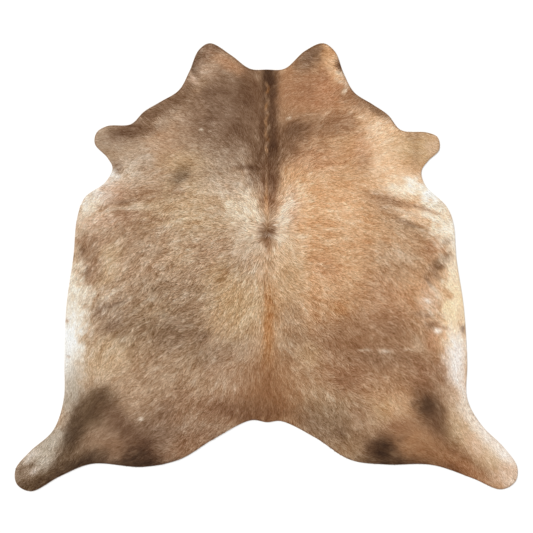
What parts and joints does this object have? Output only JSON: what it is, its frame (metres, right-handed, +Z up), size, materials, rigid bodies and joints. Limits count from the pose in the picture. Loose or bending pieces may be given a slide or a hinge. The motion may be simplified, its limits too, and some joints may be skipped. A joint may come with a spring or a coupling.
{
  "type": "cowhide rug",
  "caption": "Whole tan cowhide rug with short lying hair, neck tips, forelegs and hind legs in its outline, a dark spine stripe and pale belly edges, lying flat.",
  "frame": {"origin": "on the floor, under the middle of the rectangle that the hide's outline fills", "axes": "+X to the hide's right seen from above with the neck up, +Y along the spine to the neck, +Z up from the floor"},
  "size_m": [2.2946, 2.044, 0.0077],
  "materials": {
    "hair_coat": "short lying cattle hair, soft sheen, tan and taupe with a dark spine stripe and cream belly edges",
    "suede_leather": "matt napped suede of the flesh side, pale buff"
  },
  "bodies": {
    "root": {"hide": "hair_coat"}
  },
  "joints": []
}
